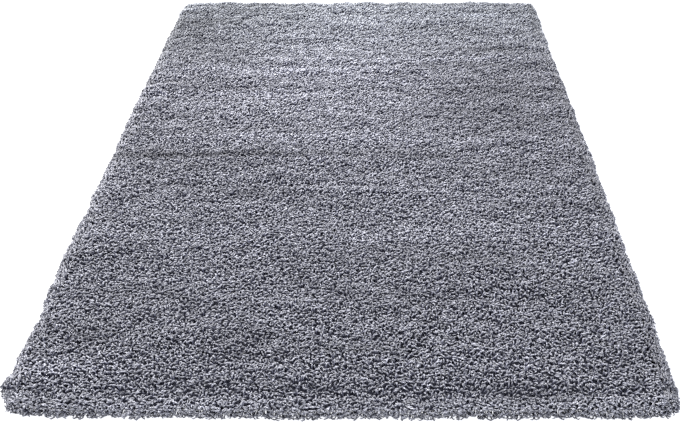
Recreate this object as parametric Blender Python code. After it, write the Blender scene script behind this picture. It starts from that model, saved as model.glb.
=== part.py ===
"""A rectangular shag rug, lying flat: one lumpy slab of pile with locks of yarn that spill over its rim.

Metres, +Z up. The origin is on the floor under the rug's centre, X runs across the rug and Y along it.
The rug is one cloth, so it is one solid. The ground cloth and the pile are not parted: the slab's underside
is the woven ground, its top is the reach of the pile, and its rim is the pile that falls over the cut edge.
"""

import math
import random

import bmesh
import bpy
from mathutils import Matrix, Vector, noise
from mathutils.geometry import delaunay_2d_cdt

# The woven ground, cut square. The pile's own outline is rounder and less even than this.
GROUND_WIDTH = 1.20
GROUND_LENGTH = 1.70
CORNER_RADIUS = 0.016

# The pile that stands on it: its height in the creases between the clumps.
CREASE_HEIGHT = 0.0260
SHOULDER = 0.040
SHOULDER_DROP = 0.0085

# Tufts cling together in round clumps with creases between them. The clumps are longer across the rug
# than along it, and lie on broader, flatter swells.
CLUMP_RELIEF = 0.0170
CLUMP_ACROSS = 0.125
CLUMP_ALONG = 0.054
SWELL_RELIEF = 0.0035
SWELL_ACROSS = 0.50
SWELL_ALONG = 0.22
SWELL_SLICE = 9.1
COLUMN_PITCH = 0.0400
ROW_PITCH = 0.0235
POINT_JITTER = 0.22
SIDE_INSET = 0.036

# At each end the last rows lean outwards, and the pile parts in a shallow valley behind them.
FRONT_PARTING = {"at": -0.828, "width": 0.0085, "depth": 0.0065}
BACK_PARTING = {"at": 0.816, "width": 0.0085, "depth": 0.0045}

# The edges are not quite straight: each row is where along the edge, and how far out it bows there. Just
# behind the front left corner a clump of pile stands out, and the front edge draws back towards that corner.
LEFT_BOWS = (
    {"at": 0.86, "spread": 0.28, "out": -0.004},
    {"at": 0.10, "spread": 0.18, "out": 0.005},
    {"at": -0.20, "spread": 0.12, "out": 0.002},
    {"at": -0.50, "spread": 0.09, "out": 0.005},
    {"at": -0.66, "spread": 0.040, "out": -0.006},
    {"at": -0.808, "spread": 0.022, "out": 0.011},
)
RIGHT_BOWS = (
    {"at": 0.86, "spread": 0.20, "out": -0.002},
    {"at": 0.52, "spread": 0.10, "out": -0.003},
    {"at": -0.05, "spread": 0.20, "out": 0.004},
    {"at": -0.47, "spread": 0.05, "out": 0.004},
)
FRONT_BOWS = ({"at": -0.62, "spread": 0.070, "out": -0.0140},)
EDGE_WAVER = 0.0040
EDGE_WAVER_LENGTH = 0.075
EDGE_WAVER_SLICE = 3.7

# Locks: clumps of yarn that hang over the rim and lie on the floor by their tips.
LOCK_COUNT = 288
LOCK_REACH = 0.0185
REACH_SPREAD = 0.14
ROOT_SHARE = 0.76
KNEE_AT = 0.56
KNEE_WIDTH = 0.84
KNEE_HEIGHT = 0.78
TIP_WIDTH = 0.50
TIP_HEIGHT = 0.0065
TIP_HEIGHT_SPREAD = 0.24
SPLAY = 0.18
PITCH_JITTER = 0.07

SEED = 7
RUG_GREY = (0.30, 0.31, 0.36, 1.0)
RUG_ROUGHNESS = 0.95
SHARP_ANGLE = math.radians(50)
MERGE_WITHIN = 1e-7


def clear_scene():
    """Removes what the startup scene holds."""
    for thing in list(bpy.data.objects):
        bpy.data.objects.remove(thing)


def outline_length():
    """The length of the ground's outline, a rectangle with small round corners."""
    straight = 2 * (GROUND_WIDTH + GROUND_LENGTH - 4 * CORNER_RADIUS)
    return straight + 2 * math.pi * CORNER_RADIUS


def square_outline(distance):
    """The point and the outward direction at a distance along the outline, from the front left corner."""
    sides = (
        (GROUND_WIDTH, Vector((-GROUND_WIDTH / 2, -GROUND_LENGTH / 2)), 0.0),
        (GROUND_LENGTH, Vector((GROUND_WIDTH / 2, -GROUND_LENGTH / 2)), math.pi / 2),
        (GROUND_WIDTH, Vector((GROUND_WIDTH / 2, GROUND_LENGTH / 2)), math.pi),
        (GROUND_LENGTH, Vector((-GROUND_WIDTH / 2, GROUND_LENGTH / 2)), 1.5 * math.pi),
    )
    distance %= outline_length()
    for side, corner, heading in sides:
        along = Vector((math.cos(heading), math.sin(heading)))
        out = Vector((along.y, -along.x))
        straight = side - 2 * CORNER_RADIUS
        if distance <= straight:
            return corner + along * (CORNER_RADIUS + distance), out
        distance -= straight
        bend = CORNER_RADIUS * math.pi / 2
        if distance <= bend:
            turn = distance / CORNER_RADIUS
            centre = corner + along * (side - CORNER_RADIUS) - out * CORNER_RADIUS
            turned = out * math.cos(turn) + along * math.sin(turn)
            return centre + turned * CORNER_RADIUS, turned
        distance -= bend
    return square_outline(0.0)


def bow(rows, place):
    """How far an edge stands out at a place along it."""
    return sum(row["out"] * math.exp(-(((place - row["at"]) / row["spread"]) ** 2)) for row in rows)


def rim_point(distance):
    """The rim's point and outward direction, with the bows of the edges and the waver of all four."""
    point, out = square_outline(distance)
    waver = EDGE_WAVER * noise.noise(Vector((distance / EDGE_WAVER_LENGTH, 0.0, EDGE_WAVER_SLICE)))
    sideways = bow(RIGHT_BOWS if point.x > 0 else LEFT_BOWS, point.y) * point.x / (GROUND_WIDTH / 2)
    lengthways = bow(FRONT_BOWS, point.x) * min(point.y, 0.0) / (GROUND_LENGTH / 2)
    return point + Vector((sideways, lengthways)) + out * waver, out


def inside_by(x, y):
    """How far a point lies inside the ground's square outline."""
    return min(GROUND_WIDTH / 2 - abs(x), GROUND_LENGTH / 2 - abs(y))


def pile_height(x, y):
    """The height of the pile's top: clumps and swells, less the partings and the drop at the rim."""
    clumps = CLUMP_RELIEF * abs(noise.noise(Vector((x / CLUMP_ACROSS, y / CLUMP_ALONG, 0.0))))
    swells = SWELL_RELIEF * noise.noise(Vector((x / SWELL_ACROSS, y / SWELL_ALONG, SWELL_SLICE)))
    partings = sum(
        row["depth"] * math.exp(-(((y - row["at"]) / row["width"]) ** 2))
        for row in (FRONT_PARTING, BACK_PARTING)
    )
    near_rim = max(0.0, 1.0 - max(inside_by(x, y), 0.0) / SHOULDER)
    return CREASE_HEIGHT + clumps + swells - partings - SHOULDER_DROP * near_rim**2


def field_points():
    """Points inside the rim, in rows across the rug set half a pitch apart, as uneven as tufts are."""
    chance = random.Random(SEED)
    length = BACK_PARTING["at"] - FRONT_PARTING["at"]
    width = GROUND_WIDTH - 2 * SIDE_INSET
    rows = round(length / ROW_PITCH)
    columns = round(width / COLUMN_PITCH)
    row_pitch = length / rows
    column_pitch = width / columns
    points = []
    for row in range(rows + 1):
        jitter = 0.0 if row in (0, rows) else POINT_JITTER
        shift = (row % 2 - 0.5) * column_pitch / 2
        for column in range(columns + 1):
            x = column * column_pitch - width / 2 + shift
            y = row * row_pitch + FRONT_PARTING["at"]
            x += chance.uniform(-POINT_JITTER, POINT_JITTER) * column_pitch
            y += chance.uniform(-jitter, jitter) * row_pitch
            points.append(Vector((x, y)))
    return points


def lock_rows():
    """One row for each lock: where its root begins and ends along the rim, its splay, reach and tip."""
    chance = random.Random(SEED + 1)
    pitch = outline_length() / LOCK_COUNT
    rows = []
    for number in range(LOCK_COUNT):
        middle = (number + 0.5 + chance.uniform(-PITCH_JITTER, PITCH_JITTER)) * pitch
        rows.append(
            {
                "begin": middle - ROOT_SHARE * pitch / 2,
                "end": middle + ROOT_SHARE * pitch / 2,
                "splay": chance.uniform(-SPLAY, SPLAY),
                "reach": LOCK_REACH * (1 + chance.uniform(-REACH_SPREAD, REACH_SPREAD)),
                "tip_height": TIP_HEIGHT * (1 + chance.uniform(-TIP_HEIGHT_SPREAD, TIP_HEIGHT_SPREAD)),
            }
        )
    return rows


def flat_faces(mesh, border, inner, upwards):
    """Fills a closed border of vertices with triangles that also use the inner vertices."""
    vertices = border + inner
    places = [vertex.co.xy for vertex in vertices]
    loop = [(i, (i + 1) % len(border)) for i in range(len(border))]
    _, _, triangles, came_from, _, _ = delaunay_2d_cdt(places, loop, [], 1, MERGE_WITHIN)
    for triangle in triangles:
        corners = [vertices[came_from[i][0]] for i in triangle]
        mesh.faces.new(corners if upwards else corners[::-1])


def add_lock(mesh, row, root):
    """Draws one lock out of the wall's four root vertices: over a knee, then down to a tip on the floor."""
    low_begin, low_end, high_end, high_begin = root
    middle, out = rim_point((row["begin"] + row["end"]) / 2)
    out = Matrix.Rotation(row["splay"], 2) @ out
    along = (low_end.co.xy - low_begin.co.xy).normalized()
    width = (low_end.co.xy - low_begin.co.xy).length
    root_height = (high_begin.co.z + high_end.co.z) / 2
    rings = [root]
    for reach, share, top in (
        (row["reach"] * KNEE_AT, KNEE_WIDTH, root_height * KNEE_HEIGHT),
        (row["reach"], TIP_WIDTH, row["tip_height"]),
    ):
        centre = middle + out * reach
        half = along * (width * share / 2)
        corners = ((centre - half, 0.0), (centre + half, 0.0), (centre + half, top), (centre - half, top))
        rings.append([mesh.verts.new((place.x, place.y, height)) for place, height in corners])
    for near, far in zip(rings, rings[1:]):
        for i in range(4):
            j = (i + 1) % 4
            mesh.faces.new((near[i], near[j], far[j], far[i]))
    mesh.faces.new(rings[-1])


def add_rim(mesh):
    """The wall of the slab with its locks. Returns the wall's lower and upper loops of vertices."""
    low, high, roots = [], [], []
    for row in lock_rows():
        first = len(low)
        for distance in (row["begin"], row["end"]):
            place, _ = rim_point(distance)
            low.append(mesh.verts.new((place.x, place.y, 0.0)))
            high.append(mesh.verts.new((place.x, place.y, pile_height(place.x, place.y))))
        roots.append((row, (low[first], low[first + 1], high[first + 1], high[first])))
    for row, root in roots:
        add_lock(mesh, row, root)
    for i in range(1, len(low), 2):
        j = (i + 1) % len(low)
        mesh.faces.new((low[i], low[j], high[j], high[i]))
    return low, high


def centre_on_origin(mesh):
    """Moves the mesh so that its box is centred over the origin."""
    for axis in range(2):
        reach = [vertex.co[axis] for vertex in mesh.verts]
        middle = (min(reach) + max(reach)) / 2
        for vertex in mesh.verts:
            vertex.co[axis] -= middle


def rug_mesh():
    """The slab's rim and locks, its lumpy top and its flat underside, as one closed mesh."""
    mesh = bmesh.new()
    low, high = add_rim(mesh)
    inner = [mesh.verts.new((p.x, p.y, pile_height(p.x, p.y))) for p in field_points()]
    flat_faces(mesh, high, inner, upwards=True)
    flat_faces(mesh, low, [], upwards=False)
    centre_on_origin(mesh)
    bmesh.ops.recalc_face_normals(mesh, faces=mesh.faces)
    bmesh.ops.triangulate(mesh, faces=mesh.faces)
    made = bpy.data.meshes.new("shag_rug")
    mesh.to_mesh(made)
    mesh.free()
    return made


def pile_material():
    """Matt blue-grey yarn."""
    material = bpy.data.materials.new("pile_yarn")
    material.use_nodes = True
    shader = material.node_tree.nodes["Principled BSDF"]
    shader.inputs["Base Color"].default_value = RUG_GREY
    shader.inputs["Roughness"].default_value = RUG_ROUGHNESS
    shader.inputs["Metallic"].default_value = 0.0
    return material


def build_rug():
    """Adds the rug to the scene."""
    made = rug_mesh()
    made.materials.append(pile_material())
    made.shade_smooth()
    made.set_sharp_from_angle(angle=SHARP_ANGLE)
    rug = bpy.data.objects.new("shag_rug", made)
    bpy.context.scene.collection.objects.link(rug)


clear_scene()
build_rug()
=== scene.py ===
"""A blue-grey shag rug, lying flat on a plain pale floor. Metres, +Z up; the rug's length runs along Y."""
import math
import bpy
import numpy as np
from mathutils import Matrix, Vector, noise
from mathutils.bvhtree import BVHTree


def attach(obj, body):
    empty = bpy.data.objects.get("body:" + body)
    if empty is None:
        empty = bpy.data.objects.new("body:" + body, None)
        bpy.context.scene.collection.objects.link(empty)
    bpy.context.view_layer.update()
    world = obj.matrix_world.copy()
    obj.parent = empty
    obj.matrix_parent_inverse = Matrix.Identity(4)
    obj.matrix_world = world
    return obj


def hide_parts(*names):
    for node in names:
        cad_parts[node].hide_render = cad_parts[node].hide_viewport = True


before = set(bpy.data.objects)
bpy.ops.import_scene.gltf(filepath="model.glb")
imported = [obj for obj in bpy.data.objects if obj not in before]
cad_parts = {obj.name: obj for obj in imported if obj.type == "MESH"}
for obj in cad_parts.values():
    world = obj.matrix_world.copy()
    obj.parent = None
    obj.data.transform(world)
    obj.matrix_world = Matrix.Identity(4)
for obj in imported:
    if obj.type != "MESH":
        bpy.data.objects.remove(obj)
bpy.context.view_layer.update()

# ---- Camera ----
# It stands at the rug's front edge, a little to the right of its middle, and looks down the rug's length.
# The picture was cropped from the right, so the lens is shifted and not turned.
picture_width = 680
focal_pixels = 761.3
centre_column = 378.3
look_down = 0.6857
camera_data = bpy.data.cameras.new("camera")
camera_data.sensor_width = 36.0
camera_data.lens = focal_pixels / picture_width * camera_data.sensor_width
camera_data.shift_x = 0.5 - centre_column / picture_width
camera = bpy.data.objects.new("camera", camera_data)
camera.location = (0.0700, -1.6861, 1.1503)
camera.rotation_euler = (math.pi / 2 - look_down, 0.0, 0.0)
bpy.context.scene.collection.objects.link(camera)
bpy.context.scene.camera = camera

# ---- Studio floor and light ----
# A seamless white floor that washes out to plain white, a broad soft lamp high at the far left, and a pale
# room all round. The lamp stands low enough for the curls to shade the gaps between them.
def plain_surface(name, colour, roughness):
    """A material with one plain Principled shader. Returns the material, its tree and the shader."""
    material = bpy.data.materials.new(name)
    material.use_nodes = True
    tree = material.node_tree
    shader = tree.nodes["Principled BSDF"]
    shader.inputs["Base Color"].default_value = (*colour, 1.0)
    shader.inputs["Roughness"].default_value = roughness
    return material, tree, shader


def mesh_object(name, mesh, material):
    """Puts a mesh into the scene under its own name, with one material."""
    mesh.materials.append(material)
    piece = bpy.data.objects.new(name, mesh)
    bpy.context.scene.collection.objects.link(piece)
    return piece


floor_reach = 9.0
floor_level = -0.0006
corner_signs = ((-1, -1), (1, -1), (1, 1), (-1, 1))
floor_corners = [(x * floor_reach, y * floor_reach, floor_level) for x, y in corner_signs]
floor_mesh = bpy.data.meshes.new("studio_floor")
floor_mesh.from_pydata(floor_corners, [], [(0, 1, 2, 3)])
floor_material, _, floor_shader = plain_surface("studio_floor", (0.50, 0.50, 0.50), roughness=0.9)
floor_shader.inputs["Specular IOR Level"].default_value = 0.0
floor_shader.inputs["Emission Color"].default_value = (0.98, 0.99, 1.03, 1.0)
floor_shader.inputs["Emission Strength"].default_value = 0.93
mesh_object("studio_floor", floor_mesh, floor_material)

world = bpy.data.worlds.new("studio")
world.use_nodes = True
world.node_tree.nodes["Background"].inputs["Color"].default_value = (0.90, 0.93, 1.04, 1.0)
world.node_tree.nodes["Background"].inputs["Strength"].default_value = 0.90
bpy.context.scene.world = world

lamp_data = bpy.data.lights.new("soft_lamp", "AREA")
lamp_data.shape = "RECTANGLE"
lamp_data.size = 2.2
lamp_data.size_y = 1.4
lamp_data.energy = 360.0
lamp_data.color = (1.0, 0.975, 0.94)
lamp = bpy.data.objects.new("soft_lamp", lamp_data)
lamp.location = (-1.9, 1.9, 2.9)
rug_middle = Vector((0.0, 0.0, 0.0))
lamp.rotation_euler = (rug_middle - lamp.location).to_track_quat("-Z", "Y").to_euler()
bpy.context.scene.collection.objects.link(lamp)

# The strokes of yarn are one or two pixels wide, and a denoiser would smear them.
bpy.context.scene.cycles.use_denoising = False
bpy.context.scene.view_settings.view_transform = "Standard"

# ---- Ground cloth ----
# The woven ground that the pile is tufted into: one sheet, cut to 1.20 m by 1.70 m, that lies on the floor.
# Only its underside can be seen, where the weave shows; the roots of the pile hide its face.
ground_width = 1.20
ground_length = 1.70
ground_thickness = 0.0025
corner_radius = 0.018
corner_steps = 6
outline_step = 0.04
pile_overhang = 0.0205
edge_blend = 0.25
weave_pitch = 0.0022
weave_fuzz = 0.2
weave_depth = 0.0006
weave_fibre = {"Fibre Width": 0.0003, "Fibre Length": 0.0012}
ground_colours = ((0.040, 0.042, 0.070), (0.105, 0.108, 0.150))

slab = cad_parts["shag_rug"]
slab_points = np.empty(3 * len(slab.data.vertices), np.float32)
slab.data.vertices.foreach_get("co", slab_points)
slab_points = slab_points.reshape(-1, 3)


def edge_wander(axis, sign):
    """How far the slab's rim lies outside the nominal one, along one edge, as (places, distances)."""
    step, window, depth, outermost = 0.030, 0.018, 0.06, 4
    along = slab_points[:, 1 - axis]
    out = slab_points[:, axis] * sign
    nominal = (ground_width, ground_length)[axis] / 2 + pile_overhang
    run = (ground_length, ground_width)[axis] / 2
    places = np.linspace(-run, run, round(2 * run / step))
    reach = []
    for place in places:
        near = (np.abs(along - place) < window) & (out > nominal - depth)
        reach.append(np.partition(out[near], -outermost)[-outermost:].mean() - nominal)
    return places, np.convolve(np.pad(reach, 1, "edge"), [0.25, 0.5, 0.25], "valid")


wander = {(axis, sign): edge_wander(axis, sign) for axis in (0, 1) for sign in (-1, 1)}


def follow_edges(points):
    """Moves points of the plain rectangle with the nearest edges, which aren't quite straight."""
    moved = points.copy()
    for (axis, sign), (places, distances) in wander.items():
        half = (ground_width, ground_length)[axis] / 2
        inside = half - points[:, axis] * sign
        share = np.clip(1 - inside / edge_blend, 0, 1) ** 2
        moved[:, axis] += sign * share * np.interp(points[:, 1 - axis], places, distances)
    return moved


def rounded_rectangle(grow, steps):
    """The ground's outline grown by a distance, counter-clockwise. A corner has steps + 1 points."""
    radius = corner_radius + grow
    centre_x = ground_width / 2 - corner_radius
    centre_y = ground_length / 2 - corner_radius
    places = []
    for x, y, start in ((1, -1, -90), (1, 1, 0), (-1, 1, 90), (-1, -1, 180)):
        for step in range(steps + 1):
            turn = math.radians(start + 90 * step / steps)
            place = (x * centre_x + radius * math.cos(turn), y * centre_y + radius * math.sin(turn))
            places.append(place)
    return np.array(places)


def ground_mesh():
    """The sheet as a closed slab, with points along its straights, a face above and one below."""
    outline = rounded_rectangle(0.0, corner_steps)
    places = []
    for here, there in zip(outline, np.roll(outline, -1, axis=0)):
        pieces = max(1, round(np.linalg.norm(there - here) / outline_step))
        places += [here + (there - here) * i / pieces for i in range(pieces)]
    places = follow_edges(np.array(places))
    count = len(places)
    vertices = [(x, y, z) for z in (0.0, ground_thickness) for x, y in places]
    walls = [(i, (i + 1) % count, count + (i + 1) % count, count + i) for i in range(count)]
    caps = [tuple(range(count))[::-1], tuple(range(count, 2 * count))]
    mesh = bpy.data.meshes.new("ground_cloth")
    mesh.from_pydata(vertices, [], walls + caps)
    return mesh


def wired(tree, kind, inputs, **settings):
    """Adds a node with its settings. Each input is given a value, or the output that feeds it."""
    made = tree.nodes.new(kind)
    for name, value in settings.items():
        setattr(made, name, value)
    for name, value in inputs.items():
        if isinstance(value, bpy.types.NodeSocket):
            tree.links.new(value, made.inputs[name])
        else:
            made.inputs[name].default_value = value
    return made


def figure(tree, operation, first, second=0.0):
    """Adds a Math node and returns its result."""
    return wired(tree, "ShaderNodeMath", {0: first, 1: second}, operation=operation).outputs[0]


def between(tree, share, low, high):
    """The value between low and high at a share of the way."""
    return wired(tree, "ShaderNodeMapRange", {"Value": share, "To Min": low, "To Max": high}).outputs[0]


def blended(tree, share, first, second):
    """The colour between two colours at a share of the way."""
    colours = {"Factor": share, 6: (*first, 1), 7: (*second, 1)}
    return wired(tree, "ShaderNodeMix", colours, data_type="RGBA").outputs[2]


def emboss(tree, shader, height, depth):
    """Raises the look of the surface by a height times a depth, through its normal."""
    bump = wired(tree, "ShaderNodeBump", {"Height": height, "Distance": depth})
    tree.links.new(bump.outputs["Normal"], shader.inputs["Normal"])


def new_group(name, sizes, result):
    """An empty node group that is given a place and named sizes, and puts out one value.

    Returns the group, the outputs that give its inputs, and the inputs of its own output node.
    """
    group = bpy.data.node_groups.new(name, "ShaderNodeTree")
    group.interface.new_socket(name="Place", in_out="INPUT", socket_type="NodeSocketVector")
    for size in sizes:
        group.interface.new_socket(name=size, in_out="INPUT", socket_type="NodeSocketFloat")
    group.interface.new_socket(name=result, in_out="OUTPUT", socket_type="NodeSocketFloat")
    return group, group.nodes.new("NodeGroupInput").outputs, group.nodes.new("NodeGroupOutput").inputs


def fibre_group():
    """The grain of spun fibre, 0 to 1: fine streaks of a given width across X and length along Y."""
    group, given, result = new_group("fibre_grain", ("Fibre Width", "Fibre Length"), "Grain")
    parts = wired(group, "ShaderNodeSeparateXYZ", {0: given["Place"]}).outputs
    across = figure(group, "DIVIDE", parts["X"], given["Fibre Width"])
    along = figure(group, "DIVIDE", parts["Y"], given["Fibre Length"])
    streaks = wired(group, "ShaderNodeCombineXYZ", {"X": across, "Y": along}).outputs[0]
    grain = wired(group, "ShaderNodeTexNoise", {"Vector": streaks, "Scale": 1.0, "Detail": 1.0}).outputs[0]
    group.links.new(grain, result["Grain"])
    return group


fibre_grain = fibre_group()


def weave_height(tree, place):
    """How high a plain weave stands, 0 to 1. Each thread passes over one neighbour and under the next."""
    parts = wired(tree, "ShaderNodeSeparateXYZ", {0: place}).outputs
    warp = figure(tree, "SINE", figure(tree, "MULTIPLY", parts["X"], math.pi / weave_pitch))
    weft = figure(tree, "SINE", figure(tree, "MULTIPLY", parts["Y"], math.pi / weave_pitch))
    turns = figure(tree, "MULTIPLY", warp, weft)
    over = figure(tree, "ADD", figure(tree, "ABSOLUTE", warp), turns)
    under = figure(tree, "SUBTRACT", figure(tree, "ABSOLUTE", weft), turns)
    return figure(tree, "MULTIPLY", figure(tree, "MAXIMUM", over, under), 0.5)


def ground_material():
    """Dark blue-grey plain weave, its threads of coarse spun fibre."""
    material, tree, shader = plain_surface("woven_ground", ground_colours[1], roughness=0.95)
    place = wired(tree, "ShaderNodeTexCoord", {}).outputs["Object"]
    grain = wired(tree, "ShaderNodeGroup", {"Place": place, **weave_fibre}, node_tree=fibre_grain)
    fuzz = between(tree, grain.outputs["Grain"], -weave_fuzz, weave_fuzz)
    relief = figure(tree, "ADD", weave_height(tree, place), fuzz)
    tree.links.new(blended(tree, relief, *ground_colours), shader.inputs["Base Color"])
    emboss(tree, shader, relief, weave_depth)
    return material


ground = mesh_object("ground_cloth", ground_mesh(), ground_material())
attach(ground, "root")
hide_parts("shag_rug")

# ---- Yarn ----
# Spun polyester yarn, two plies twisted together and heat-curled, cut to one length. Each yarn end rises
# from a pinched root in the ground, bends over near the top and lies curled among its neighbours.
pile_seed = 11
chance = np.random.default_rng(pile_seed)

# A yarn end is a three-sided tube through four points, with a share of its radius at each.
yarn_radius = 0.0015
radius_spread = 0.15
radius_shares = (0, 0.95, 1, 0.5)
sides = 3
floor_gap = 0.0002

# The curl at the top: its least and greatest length, the shares of it before and past the tip, how sharply
# it bends on, how round it lies in plan at the near and the far end of the rug, and how far it sinks.
curl_length = (0.0044, 0.0064)
curl_shares = (0.6, 0.4)
curl_bend = 1.0
curl_squash = (0.76, 0.44)
curl_drop = 0.0028
cut_drop = 0.0022

# The twist of the two plies and the fibres on them. Each pair of shades is the darkest and the lightest; the
# groove's pair is painted shade in the groove between the plies and painted light on their crowns.
twist_length = 0.0065
twist_depth = 0.0005
fibre_relief = 0.5
groove_painted_shades = (0.36, 1.31)
fibre_shades = (0.75, 1.25)
yarn_fibre = {"Fibre Width": 0.0003, "Fibre Length": 0.0020}

# The colour from the root to the cut end, darkened towards the root as painted shade, by a level at each of
# the four points, and how much the tone varies from one yarn end to the next, near and far, and along each.
# The rug's far end has a painted tint of the light there, a little greener.
root_shade_colour = (0.052, 0.052, 0.125)
end_colour = (0.497, 0.504, 0.545)
root_shade_levels = (0.0, 0.5, 1.0, 1.0)
root_shade_colour_ends = 0.25
tone_spread = (0.14, 0.08)
tone_along = 0.15
tone_limits = (0.25, 2.00)
# A painted tint of the light at the far end, and where it fades in along the rug.
far_painted_tint = (1.01, 1.045, 1.025)
far_painted_tint_places = (0.30, 0.80)

# Where the points along a yarn end come in its own cell of the map that colours are baked to.
bake_stations = (0, 0.25, 0.65, 1)
bake_margin = 0.06


def unit(vectors):
    """Vectors of length one."""
    return vectors / np.maximum(np.linalg.norm(vectors, axis=-1, keepdims=True), 1e-12)


def near_to_far(points, values):
    """The value at each point, between one for the rug's near end and one for its far end."""
    return np.interp(points[:, 1], (-ground_length / 2, ground_length / 2), values)


def yarn_paths(foot, tip, normal, across, squash):
    """The four points that each yarn end runs through, from its root to its cut end, and its radius there.

    It comes up under the tip, curls in the surface of the pile, which faces along normal, and sinks back.
    The curls lie more along the way called across than the other way: squash says how much is left of that.
    """
    count = len(foot)
    slope = squash[:, None] * np.cross(normal, across)
    turn = chance.uniform(0, 2 * np.pi, count)
    late = turn + chance.normal(0, curl_bend, count)
    curl = chance.uniform(*curl_length, count)[:, None]
    first = np.cos(turn)[:, None] * across + np.sin(turn)[:, None] * slope
    second = np.cos(late)[:, None] * across + np.sin(late)[:, None] * slope
    drop = np.abs(chance.normal(0, cut_drop, (count, 1)))
    path = np.empty((count, 4, 3))
    path[:, 0] = foot
    path[:, 1] = tip - curl_shares[0] * curl * first - curl_drop * normal
    path[:, 2] = tip + curl_shares[1] * curl * first
    path[:, 3] = path[:, 2] + curl * second - drop * normal
    radii = yarn_radius * chance.uniform(1 - radius_spread, 1 + radius_spread, (count, 1)) * radius_shares
    path[:, 1:, 2] = np.maximum(path[:, 1:, 2], radii[:, 1:] + floor_gap)
    return path, radii


def yarn_faces():
    """The faces of one yarn end: cones at its root and its cut end, and a tube between them.

    Each face lists its corners, and each corner is (vertex, turns around the yarn, station along it).
    """
    faces = []
    for k in range(sides):
        here, there = k / sides, (k + 1) / sides
        middle = (here + there) / 2
        low, high = 1 + k, 1 + sides + k
        low_next, high_next = 1 + (k + 1) % sides, 1 + sides + (k + 1) % sides
        faces.append([(0, middle, 0), (low_next, there, 1), (low, here, 1)])
        faces.append([(low, here, 1), (low_next, there, 1), (high_next, there, 2), (high, here, 2)])
        faces.append([(high, here, 2), (high_next, there, 2), (1 + 2 * sides, middle, 3)])
    return faces


def yarn_mesh(name, path, radii, tone):
    """All the yarn ends of one piece, joined into one mesh, with their tones and two maps."""
    count = len(path)
    # Two rings around each path. A straight path has no side of its own, so a trace of one is added.
    trace = 1e-9
    tangent = unit(np.stack([path[:, 2] - path[:, 0], path[:, 3] - path[:, 1]], 1))
    aside = unit(np.cross(path[:, 3] - path[:, 1], path[:, 2] - path[:, 0]) + trace)[:, None, :]
    first = unit(aside - (aside * tangent).sum(-1, keepdims=True) * tangent)
    second = np.cross(tangent, first)
    angles = 2 * np.pi * np.arange(sides)[:, None] / sides
    around = first[:, :, None] * np.cos(angles) + second[:, :, None] * np.sin(angles)
    rings = path[:, 1:3, None] + around * radii[:, 1:3, None, None]
    vertices = np.concatenate([path[:, :1], rings.reshape(count, 2 * sides, 3), path[:, 3:]], 1)
    faces = yarn_faces()
    corners, turns, stations = np.array([corner for face in faces for corner in face]).T
    corners, stations = corners.astype(int), stations.astype(int)
    starts = np.cumsum([0] + [len(face) for face in faces[:-1]])
    number = np.arange(count)[:, None]

    mesh = bpy.data.meshes.new(name)
    mesh.vertices.add(vertices.shape[0] * vertices.shape[1])
    mesh.loops.add(count * len(corners))
    mesh.polygons.add(count * len(faces))
    mesh.vertices.foreach_set("co", vertices.astype(np.float32).ravel())
    mesh.loops.foreach_set("vertex_index", (number * vertices.shape[1] + corners).astype(np.int32).ravel())
    mesh.polygons.foreach_set("loop_start", (number * len(corners) + starts).astype(np.int32).ravel())
    mesh.polygons.foreach_set("use_smooth", np.ones(count * len(faces), bool))
    mesh.update(calc_edges=True)

    run = np.cumsum(np.linalg.norm(np.diff(path, axis=1), axis=2), axis=1)
    run = np.concatenate([np.zeros((count, 1)), run], 1) + chance.uniform(0, twist_length, (count, 1))
    along = np.empty((count, len(corners), 2), np.float32)
    along[:, :, 0] = turns * 2 * np.pi * yarn_radius
    along[:, :, 1] = run[:, stations]
    mesh.uv_layers.new(name="yarn").data.foreach_set("uv", along.ravel())

    cells = math.ceil(math.sqrt(count))
    cell = np.concatenate([number % cells, number // cells], 1)[:, None, :]
    spot = np.stack([turns, np.array(bake_stations)[stations]], 1)
    laid = (cell + bake_margin + (1 - 2 * bake_margin) * spot) / cells
    mesh.uv_layers.new(name="OFBake").data.foreach_set("uv", laid.astype(np.float32).ravel())

    # Red is the tone, green the level between the painted root shade and the end's colour, blue the share of
    # the painted far tint of light.
    station = np.array([0] + [1] * sides + [2] * sides + [3])
    uneven = 1 + chance.normal(0, tone_along, (count, 4))
    values = np.ones((count, vertices.shape[1], 4), np.float32)
    values[:, :, 0] = np.clip(tone[:, None] * uneven[:, station], *tone_limits)
    values[:, :, 1] = np.array(root_shade_levels)[station]
    values[:, :, 2] = np.interp(path[:, :1, 1], far_painted_tint_places, (0, 1))
    mesh.color_attributes.new("tuft", "FLOAT_COLOR", "POINT").data.foreach_set("color", values.ravel())
    return mesh


def ply_group():
    """How high a yarn of two twisted plies stands, 0 to 1, by the place around it (X) and along it (Y)."""
    group, given, result = new_group("ply_twist", ("Girth", "Twist Length"), "Height")
    parts = wired(group, "ShaderNodeSeparateXYZ", {0: given["Place"]}).outputs
    around = figure(group, "DIVIDE", parts["X"], given["Girth"])
    along = figure(group, "DIVIDE", parts["Y"], given["Twist Length"])
    turns = figure(group, "MULTIPLY", figure(group, "ADD", around, along), 2 * math.pi)
    group.links.new(figure(group, "ABSOLUTE", figure(group, "SINE", turns)), result["Height"])
    return group


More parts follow.
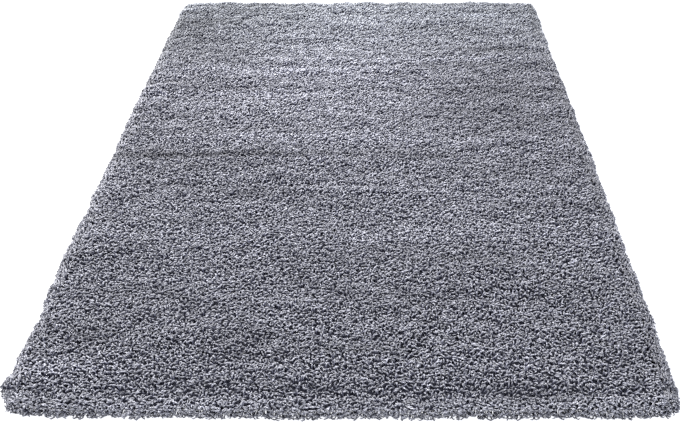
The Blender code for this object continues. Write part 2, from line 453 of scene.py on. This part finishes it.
def yarn_material():
    """Matt blue-grey yarn, with painted shade towards its root and in the groove between its plies."""
    material, tree, shader = plain_surface("pile_yarn", end_colour, roughness=0.9)
    place = wired(tree, "ShaderNodeUVMap", {}, uv_map="yarn").outputs["UV"]
    tuft = wired(tree, "ShaderNodeVertexColor", {}, layer_name="tuft").outputs["Color"]
    parts = wired(tree, "ShaderNodeSeparateColor", {"Color": tuft}).outputs
    twist = {"Place": place, "Girth": 2 * math.pi * yarn_radius, "Twist Length": twist_length}
    ply = wired(tree, "ShaderNodeGroup", twist, node_tree=ply_group()).outputs["Height"]
    fibres = {"Place": place, **yarn_fibre}
    grain = wired(tree, "ShaderNodeGroup", fibres, node_tree=fibre_grain).outputs["Grain"]

    # Painted shade in the groove between the plies, and painted light on their crowns.
    groove = between(tree, ply, *groove_painted_shades)
    fuzz = between(tree, grain, *fibre_shades)
    tone = figure(tree, "MULTIPLY", parts["Red"], figure(tree, "MULTIPLY", groove, fuzz))
    # Painted shade: the colour darkens from the cut end down to the root, where the pile shades itself.
    ramp = wired(tree, "ShaderNodeValToRGB", {"Fac": parts["Green"]})
    for stop, colour in zip(ramp.color_ramp.elements, (root_shade_colour, end_colour)):
        stop.color = (*colour, 1)
    ramp.color_ramp.elements[0].position = root_shade_colour_ends
    toned = {0: ramp.outputs["Color"], "Scale": tone}
    shade = wired(tree, "ShaderNodeVectorMath", toned, operation="SCALE").outputs[0]
    # Painted tint of the light: the far end of the rug is made a little greener.
    tint = blended(tree, parts["Blue"], (1, 1, 1), far_painted_tint)
    tinted = wired(tree, "ShaderNodeVectorMath", {0: shade, 1: tint}, operation="MULTIPLY").outputs[0]
    tree.links.new(tinted, shader.inputs["Base Color"])

    height = figure(tree, "ADD", ply, figure(tree, "MULTIPLY", grain, fibre_relief))
    emboss(tree, shader, height, twist_depth)
    shader.inputs["Specular IOR Level"].default_value = 0.2
    shader.inputs["Sheen Weight"].default_value = 0.15
    return material


yarn = yarn_material()


def add_pile(name, path, radii, lightness):
    """Adds one piece of the pile. Its yarn ends vary in tone around a given lightness, which carries painted
    light and shade.
    """
    tone = lightness * (1 + chance.normal(0, near_to_far(path[:, 0], tone_spread)))
    piece = mesh_object(name, yarn_mesh(name, path, radii, tone), yarn)
    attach(piece, "root")
    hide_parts("shag_rug")


# ---- Pile on the field ----
# Yarn ends tufted in rows across the rug, up to where the edge rows begin. The pile stands as high as the
# slab, gathers in small clumps, leans with its nap, and has broad patches of painted light and shade where
# the brushed nap catches the light. It parts in thin valleys where rows lean away from each other, with
# painted shade in them.
field_pitch = 0.00545
root_jitter = 0.36
edge_rows_depth = 0.012
ends_a_piece = 16400
height_spread = 0.0021
rim_height = 0.016
rays_from = 0.1

# Each unevenness is smooth noise, with a size for its cells, across the rug and along it, and a slice of it.
# Clumps and streaks grow stronger towards the far end.
nap_lean = 0.006
nap_noise = (((0.30, 0.11), 5.2), ((0.36, 0.09), 8.4))
clump_size = (0.020, 0.0075)
clump_relief = 0.0022
clump_relief_slice = 17.3
clump_lean = 0.0022
clump_lean_slices = (11.2, 14.7)
clump_growth = 0.6
streak_tone = 0.255
streak_size = (0.28, 0.024)
streak_slice = 3.3
streak_growth = 0.55

# A parting is a line across the rug that pushes the tips away on both sides. It wavers, and parting_gaps
# says how open it is and how much that changes along it. Its darker value is painted shade in its valley.
parting_waver = 0.016
parting_waver_size = (0.07, 1.0)
parting_gaps = (0.55, 1.1)
parting_gaps_size = (0.09, 1.0)
parting_gaps_slice = 4.0
parting_push_spread = (0.2, 1.6)
partings = (
    {"y": -0.832, "width": 0.013, "push": 0.0028, "middle": -0.08, "reach": 0.52, "darker": 0.12},
    {"y": 0.758, "width": 0.010, "push": 0.0045, "middle": 0.05, "reach": 0.52, "darker": 0.18},
    {"y": 0.247, "width": 0.012, "push": 0.0030, "middle": 0.10, "reach": 0.50, "darker": 0.06},
    {"y": -0.088, "width": 0.012, "push": 0.0040, "middle": -0.30, "reach": 0.34, "darker": 0.08},
)

# Patches of painted light and shade, standing in for how the light falls on pile brushed one way and the
# other. Each fades out from its middle over the two distances that it gives.
nap_light_patches = (
    {"x": -0.03, "y": 0.36, "across": 0.30, "along": 0.50, "lighter": 0.30},
    {"x": -0.50, "y": 0.64, "across": 0.16, "along": 0.18, "lighter": -0.24},
    {"x": 0.46, "y": 0.14, "across": 0.20, "along": 0.14, "lighter": -0.12},
    {"x": 0.00, "y": -0.30, "across": 0.90, "along": 0.11, "lighter": 0.05},
    {"x": -0.62, "y": 0.50, "across": 0.022, "along": 0.34, "lighter": -0.26},
    {"x": 0.00, "y": 0.741, "across": 0.50, "along": 0.008, "lighter": 0.16},
    {"x": 0.02, "y": 0.775, "across": 0.14, "along": 0.022, "lighter": 0.44},
    {"x": 0.38, "y": 0.733, "across": 0.16, "along": 0.013, "lighter": 0.58},
    {"x": 0.22, "y": 0.676, "across": 0.08, "along": 0.020, "lighter": 0.26},
    {"x": -0.38, "y": 0.575, "across": 0.08, "along": 0.020, "lighter": 0.18},
    {"x": 0.40, "y": 0.530, "across": 0.25, "along": 0.020, "lighter": 0.22},
    {"x": 0.38, "y": 0.485, "across": 0.20, "along": 0.026, "lighter": -0.24},
    {"x": 0.30, "y": 0.425, "across": 0.20, "along": 0.014, "lighter": 0.60},
    {"x": 0.42, "y": 0.330, "across": 0.18, "along": 0.050, "lighter": -0.16},
    {"x": -0.22, "y": 0.345, "across": 0.26, "along": 0.035, "lighter": 0.32},
    {"x": -0.36, "y": 0.293, "across": 0.18, "along": 0.010, "lighter": -0.22},
    {"x": 0.05, "y": 0.280, "across": 0.16, "along": 0.014, "lighter": 0.22},
    {"x": 0.20, "y": 0.247, "across": 0.40, "along": 0.011, "lighter": -0.34},
    {"x": -0.56, "y": 0.225, "across": 0.09, "along": 0.020, "lighter": 0.24},
    {"x": -0.18, "y": 0.130, "across": 0.12, "along": 0.024, "lighter": 0.15},
    {"x": -0.40, "y": 0.215, "across": 0.20, "along": 0.025, "lighter": 0.20},
    {"x": 0.42, "y": 0.215, "across": 0.18, "along": 0.030, "lighter": -0.12},
    {"x": -0.35, "y": -0.004, "across": 0.30, "along": 0.014, "lighter": 0.26},
    {"x": 0.15, "y": -0.022, "across": 0.50, "along": 0.020, "lighter": 0.22},
    {"x": -0.56, "y": -0.075, "across": 0.09, "along": 0.020, "lighter": -0.26},
    {"x": 0.36, "y": -0.076, "across": 0.12, "along": 0.020, "lighter": 0.24},
    {"x": -0.24, "y": -0.088, "across": 0.40, "along": 0.014, "lighter": -0.40},
    {"x": -0.23, "y": -0.130, "across": 0.24, "along": 0.022, "lighter": -0.14},
    {"x": -0.25, "y": -0.245, "across": 0.30, "along": 0.050, "lighter": -0.08},
    {"x": 0.05, "y": -0.400, "across": 0.50, "along": 0.030, "lighter": 0.14},
    {"x": 0.30, "y": -0.400, "across": 0.16, "along": 0.035, "lighter": 0.13},
    {"x": 0.30, "y": -0.475, "across": 0.14, "along": 0.024, "lighter": -0.18},
    {"x": -0.45, "y": -0.575, "across": 0.18, "along": 0.030, "lighter": -0.16},
    {"x": -0.50, "y": -0.690, "across": 0.14, "along": 0.045, "lighter": -0.20},
    {"x": -0.08, "y": -0.672, "across": 0.08, "along": 0.020, "lighter": 0.16},
    {"x": 0.22, "y": -0.748, "across": 0.08, "along": 0.018, "lighter": 0.16},
    {"x": -0.20, "y": -0.710, "across": 0.07, "along": 0.022, "lighter": -0.22},
    {"x": 0.00, "y": -0.730, "across": 0.12, "along": 0.014, "lighter": -0.24},
    {"x": -0.52, "y": -0.780, "across": 0.10, "along": 0.022, "lighter": 0.34},
    {"x": 0.36, "y": -0.825, "across": 0.09, "along": 0.016, "lighter": -0.20},
    {"x": -0.52, "y": -0.850, "across": 0.09, "along": 0.014, "lighter": -0.30},
    {"x": 0.14, "y": -0.845, "across": 0.52, "along": 0.008, "lighter": -0.36},
)


def noise_at(points, size, slice_at):
    """Smooth noise, from about -0.5 to 0.5, at each point, in cells of the given size."""
    return np.array([noise.noise((x, y, slice_at)) for x, y in points / size])


slab_faces = [tuple(face.vertices) for face in slab.data.polygons]
slab_tree = BVHTree.FromPolygons([tuple(point) for point in slab_points], slab_faces)


def slab_height(points):
    """The height of the slab's top over each point, or the rim's height where the point is just outside."""
    down = Vector((0, 0, -1))
    hits = [slab_tree.ray_cast(Vector((x, y, rays_from)), down)[0] for x, y in points]
    return np.array([hit.z if hit else rim_height for hit in hits])


def parting_share(row, points):
    """How much of a parting reaches each point, -1 to 1: less than 0 in front of its line."""
    across = points[:, :1] * (1, 0)
    line = row["y"] + parting_waver * noise_at(across, parting_waver_size, row["y"])
    gaps = noise_at(across, parting_gaps_size, row["y"] + parting_gaps_slice)
    opens = np.exp(-(((points[:, 0] - row["middle"]) / row["reach"]) ** 4))
    opens *= np.clip(parting_gaps[0] + parting_gaps[1] * gaps, 0, 1)
    away = points[:, 1] - line
    return opens * np.sign(away) * np.exp(-np.abs(away) / row["width"])


def pile_lean(points):
    """How far the tips lean from their roots: with the nap, into clumps, and away from the partings."""
    lean = nap_lean * np.stack([noise_at(points, size, slice_at) for size, slice_at in nap_noise], axis=1)
    clumps = np.stack([noise_at(points, clump_size, slice_at) for slice_at in clump_lean_slices], axis=1)
    lean += clump_lean * (1 + clump_growth * points[:, 1:2]) * clumps
    for row in partings:
        push = row["push"] * parting_share(row, points)
        lean[:, 1] += push * chance.uniform(*parting_push_spread, len(points))
    return lean


def pile_lightness(points):
    """How light the pile looks at each point, around 1: streaks, patches of painted light and shade, and
    painted shade in the partings.
    """
    strength = streak_tone * (1 + streak_growth * points[:, 1])
    light = 1 + strength * noise_at(points, streak_size, streak_slice)
    # Painted light and shade of the brushed nap.
    for row in nap_light_patches:
        away = (points - (row["x"], row["y"])) / (row["across"], row["along"])
        light += row["lighter"] * np.exp(-(away**2).sum(1))
    # Painted shade in the valleys of the partings.
    for row in partings:
        light -= row["darker"] * np.abs(parting_share(row, points))
    return light


def field_roots():
    """Points in rows across the rug, set half a pitch apart and jittered, inside the edge rows."""
    width = ground_width - 2 * edge_rows_depth
    length = ground_length - 2 * edge_rows_depth
    rows, columns = round(length / field_pitch), round(width / field_pitch)
    row, column = np.mgrid[0:rows, 0:columns].reshape(2, -1)
    points = np.stack([column + 0.5 + 0.5 * (row % 2 - 0.5), row + 0.5], axis=1)
    points += chance.uniform(-root_jitter, root_jitter, points.shape)
    return points * (width / columns, length / rows) - (width / 2, length / 2)


field = field_roots()
for number, roots in enumerate(np.array_split(field, math.ceil(len(field) / ends_a_piece)), 1):
    placed = follow_edges(roots)
    foot = np.column_stack([placed, np.full(len(roots), ground_thickness)])
    height = slab_height(placed) + chance.normal(0, height_spread, len(roots))
    clumps = noise_at(roots, clump_size, clump_relief_slice)
    height += clump_relief * (1 + clump_growth * roots[:, 1]) * clumps
    tip = np.column_stack([placed + pile_lean(roots), height])
    upwards = np.tile((0.0, 0.0, 1.0), (len(roots), 1))
    sideways = np.tile((1.0, 0.0, 0.0), (len(roots), 1))
    path, radii = yarn_paths(foot, tip, upwards, sideways, near_to_far(foot, curl_squash))
    add_pile(f"pile_field_{number}", path, radii, pile_lightness(roots))

# ---- Pile along the edges ----
# The outermost rows on all four sides. Each leans further over the cut edge than the one behind it, so the
# tips lie on a rounded shoulder, down to a row on the floor. Two shorter rows under that one fill the gap
# between its stems and hide the ground's edge.
edge_rows = 12
floor_rows = 2
floor_rows_reach = (0.35, 0.85)
edge_pitch = 0.0051
row_jitter = 0.06
reach_spread = 0.0011
tip_sway = 0.0028
tip_height_on_floor = 0.0022
shoulder_middle = 0.025
rim_corner_steps = 12
floor_squash = 0.5

# The rim is lumpy all round, and one clump stands out behind the front left corner, with a dip behind it.
lump_reach = 0.0040
lump_size = (0.014, 0.014)
lump_slice = 2.6
lump_drift = 0.02
corner_clumps = (
    {"y": -0.814, "spread": 0.015, "out": 0.0060},
    {"y": -0.776, "spread": 0.014, "out": -0.0030},
)

# Painted light and shade on the pile on the shoulder and down on the floor, where less light reaches it: all
# round, and then more or less on the sides that face the front, the far end and the right, as the light
# falls.
shoulder_lightness = {"all": 0.95, "front": 0.36, "far": 0.20, "right": -0.20}
floor_lightness = {"all": 0.49, "front": -0.04, "far": -0.39, "right": 0.56}
lightness_fall = 1.7
floor_tone_spread = 0.20
floor_tone_limits = (0.3, 2.0)


def facing_lightness(row, out):
    """How much painted light and shade each yarn end gets by the side that it faces."""
    front = np.maximum(-out[:, 1], 0)
    far = np.maximum(out[:, 1], 0)
    right = np.maximum(out[:, 0], 0)
    return row["all"] + row["front"] * front + row["far"] * far + row["right"] * right


def edge_ends():
    """Where each yarn end of the edge rows belongs.

    Returns the pivot that it leans over, its way out, its share of the way down to the floor, its distance
    round the rim, and how much of the full reach it has.
    """
    pivots = rounded_rectangle(-edge_rows_depth, rim_corner_steps)
    shoulder = rounded_rectangle(shoulder_middle - edge_rows_depth, rim_corner_steps)
    pivots = np.vstack([pivots, pivots[:1]])
    shoulder = np.vstack([shoulder, shoulder[:1]])
    walked = np.concatenate([[0], np.cumsum(np.linalg.norm(np.diff(shoulder, axis=0), axis=1))])
    count = round(walked[-1] / edge_pitch)
    row, place = np.mgrid[0 : edge_rows + floor_rows, 0:count].reshape(2, -1)
    step = place + 0.5 * (row % 2) + chance.uniform(-root_jitter, root_jitter, len(row))
    distance = (step % count) * walked[-1] / count
    here = np.column_stack([np.interp(distance, walked, pivots[:, axis]) for axis in (0, 1)])
    there = np.column_stack([np.interp(distance, walked, shoulder[:, axis]) for axis in (0, 1)])
    share = np.clip((row + 0.5) / edge_rows + chance.normal(0, row_jitter, len(row)), 0, 1)
    spread = np.where(row < edge_rows, 1.0, chance.uniform(*floor_rows_reach, len(row)))
    return here, unit(there - here), share, distance, spread


pivot, out, share, distance, spread = edge_ends()
outwards = np.column_stack([out, np.zeros(len(out))])
upwards = np.tile((0.0, 0.0, 1.0), (len(out), 1))
along_edge = np.cross(upwards, outwards)
tilt = share[:, None] * math.pi / 2
normal = outwards * np.sin(tilt) + upwards * np.cos(tilt)
lumps = lump_reach * noise_at(np.column_stack([distance, share * lump_drift]), lump_size, lump_slice)
for row in corner_clumps:
    near = np.exp(-(((pivot[:, 1] - row["y"]) / row["spread"]) ** 2))
    lumps += row["out"] * near * np.maximum(-out[:, 0], 0)
reach = edge_rows_depth + spread * (pile_overhang + lumps + chance.normal(0, reach_spread, len(out)))

rooted = follow_edges(pivot + out * edge_rows_depth * share[:, None])
foot = np.column_stack([rooted, np.full(len(out), ground_thickness)])
placed = follow_edges(pivot)
height = slab_height(placed) + lumps
tip = np.column_stack([placed, np.zeros(len(out))]) + outwards * reach[:, None] * np.sin(tilt)
tip[:, 2] = height * np.cos(tilt[:, 0]) + tip_height_on_floor * np.sin(tilt[:, 0])
tip += along_edge * (share * chance.normal(0, tip_sway, len(share)))[:, None]

# Painted light and shade by the side that each end faces and how far down the shoulder it lies.
shoulder = facing_lightness(shoulder_lightness, out)
floor = facing_lightness(floor_lightness, out)
lightness = pile_lightness(pivot + out * reach[:, None] * np.sin(tilt))
lightness *= shoulder + (floor - shoulder) * share**lightness_fall
lightness *= np.clip(1 + floor_tone_spread * share * chance.normal(0, 1, len(share)), *floor_tone_limits)
squash = near_to_far(foot, curl_squash) * (1 - floor_squash * share)
path, radii = yarn_paths(foot, tip, normal, along_edge, squash)
add_pile("pile_edge", path, radii, lightness)
